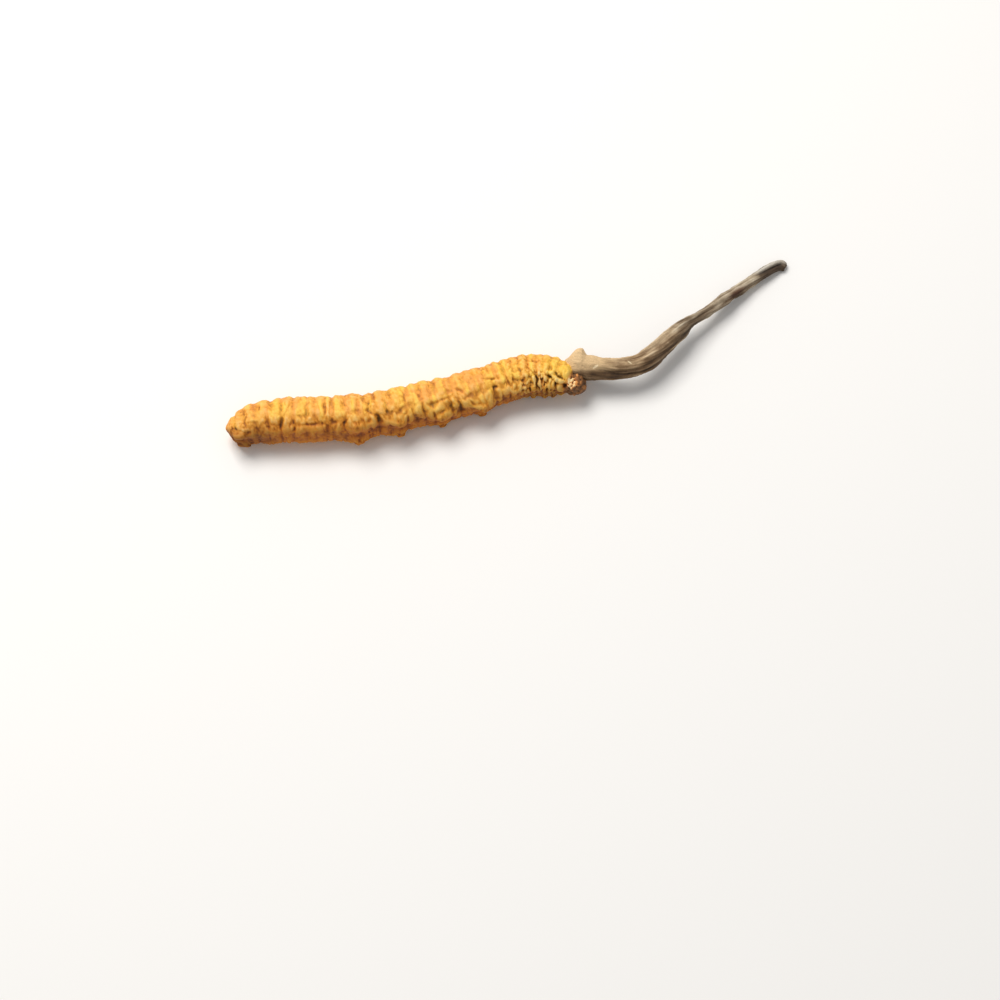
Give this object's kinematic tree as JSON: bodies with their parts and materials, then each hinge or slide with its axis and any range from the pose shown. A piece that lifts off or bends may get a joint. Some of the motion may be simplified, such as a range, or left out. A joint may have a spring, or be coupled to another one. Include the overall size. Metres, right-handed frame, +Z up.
{
  "type": "dried cordyceps",
  "caption": "Dried cordyceps lying on its side: a ringed, mummified larva body with stubby legs, and a bent, furrowed fungus stalk growing from its head.",
  "frame": {"origin": "middle of the bounding box, at the height of the underside it rests on", "axes": "+X from the tail of the larva to the tip of the stalk, +Z up from the surface it lies on, +Y towards the back of the larva"},
  "size_m": [0.0704, 0.0261, 0.0055],
  "materials": {
    "larva_skin": "dry, matte, wrinkled skin with a slight waxy sheen, golden ochre with brown creases",
    "stalk": "dry, matte, fibrous, grey-brown with darker lengthwise furrows"
  },
  "bodies": {
    "root": {"larva": "larva_skin", "stroma": "stalk"}
  },
  "joints": []
}
